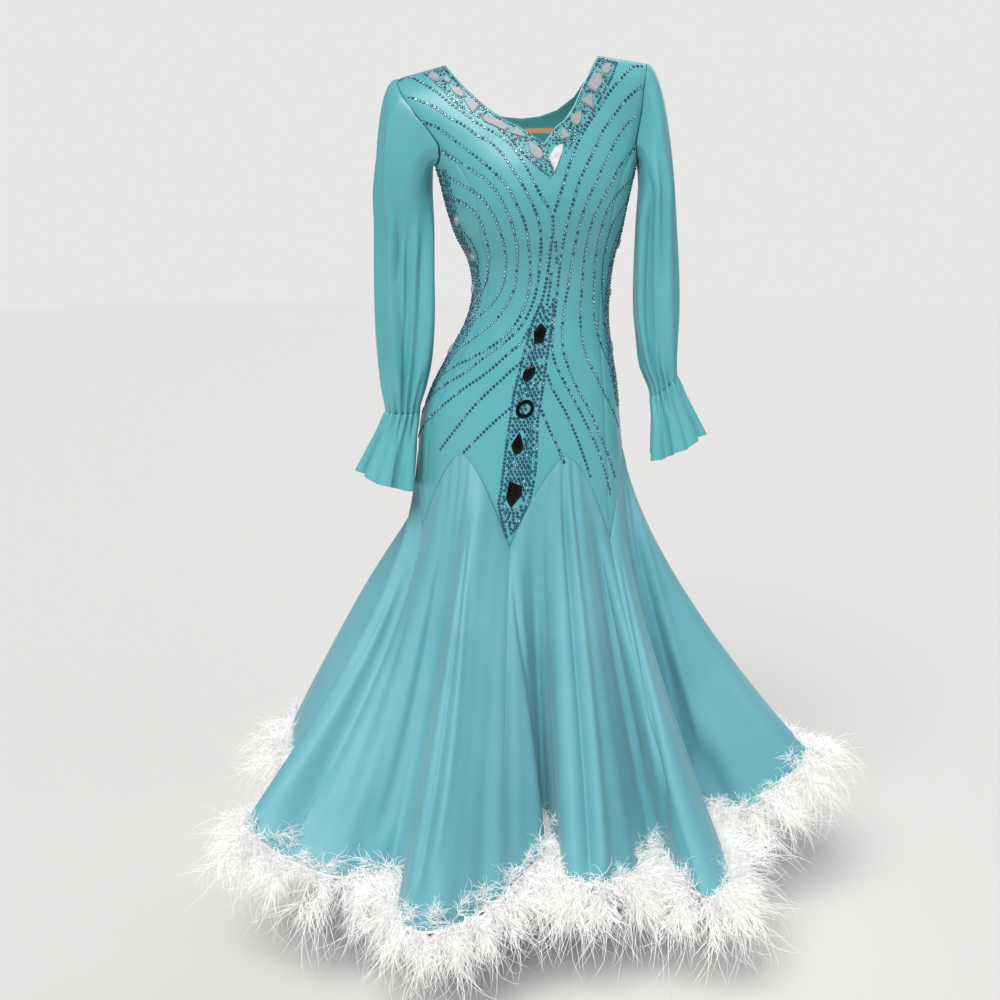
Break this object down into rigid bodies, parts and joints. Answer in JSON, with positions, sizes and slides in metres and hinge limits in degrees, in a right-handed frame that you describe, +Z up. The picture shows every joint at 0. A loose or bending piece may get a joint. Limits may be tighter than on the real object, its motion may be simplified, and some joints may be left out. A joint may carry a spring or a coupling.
{
  "type": "ballroom dance dress",
  "caption": "Floor-length ballroom dance dress with V neck, long frilled sleeves, pointed hip yoke, flared gores and a feather hem, held open as worn.",
  "frame": {"origin": "midway between the shoulders at the height of the shoulder seams, where the wearer carries the dress", "axes": "+Z up along the dress, front of the dress faces -Y, the wearer's left is +X"},
  "size_m": [1.1472, 1.0368, 1.4353],
  "materials": {
    "satin": "turquoise stretch satin, soft sheen",
    "chiffon": "turquoise chiffon, matt, slightly sheer",
    "feather": "white feather trim, fluffy",
    "elastic": "tan elastic",
    "mirror_stone": "faceted, mirror-backed",
    "jet_stone": "faceted, black, polished"
  },
  "bodies": {
    "root": {"back_panel": "satin", "centre_stone_1": "jet_stone", "centre_stone_2": "jet_stone", "centre_stone_3": "jet_stone", "centre_stone_4": "jet_stone", "centre_stone_5": "jet_stone", "cuff_frill_left": "satin", "cuff_frill_right": "satin", "feather_1": "feather", "feather_2": "feather", "feather_3": "feather", "feather_4": "feather", "feather_5": "feather", "feather_6": "feather", "front_panel": "satin", "gore_1": "chiffon", "gore_2": "chiffon", "gore_3": "chiffon", "gore_4": "chiffon", "gore_5": "chiffon", "gore_6": "chiffon", "neck_stone_1": "mirror_stone", "neck_stone_10": "mirror_stone", "neck_stone_11": "mirror_stone", "neck_stone_12": "mirror_stone", "neck_stone_13": "mirror_stone", "neck_stone_2": "mirror_stone", "neck_stone_3": "mirror_stone", "neck_stone_4": "mirror_stone", "neck_stone_5": "mirror_stone", "neck_stone_6": "mirror_stone", "neck_stone_7": "mirror_stone", "neck_stone_8": "mirror_stone", "neck_stone_9": "mirror_stone", "neck_strap": "elastic", "side_panel_left": "satin", "side_panel_right": "satin", "side_stone_1": "mirror_stone", "side_stone_2": "mirror_stone", "side_stone_3": "mirror_stone", "side_stone_4": "mirror_stone", "side_stone_5": "mirror_stone", "side_stone_6": "mirror_stone", "side_stone_7": "mirror_stone", "sleeve_left": "satin", "sleeve_right": "satin"}
  },
  "joints": []
}
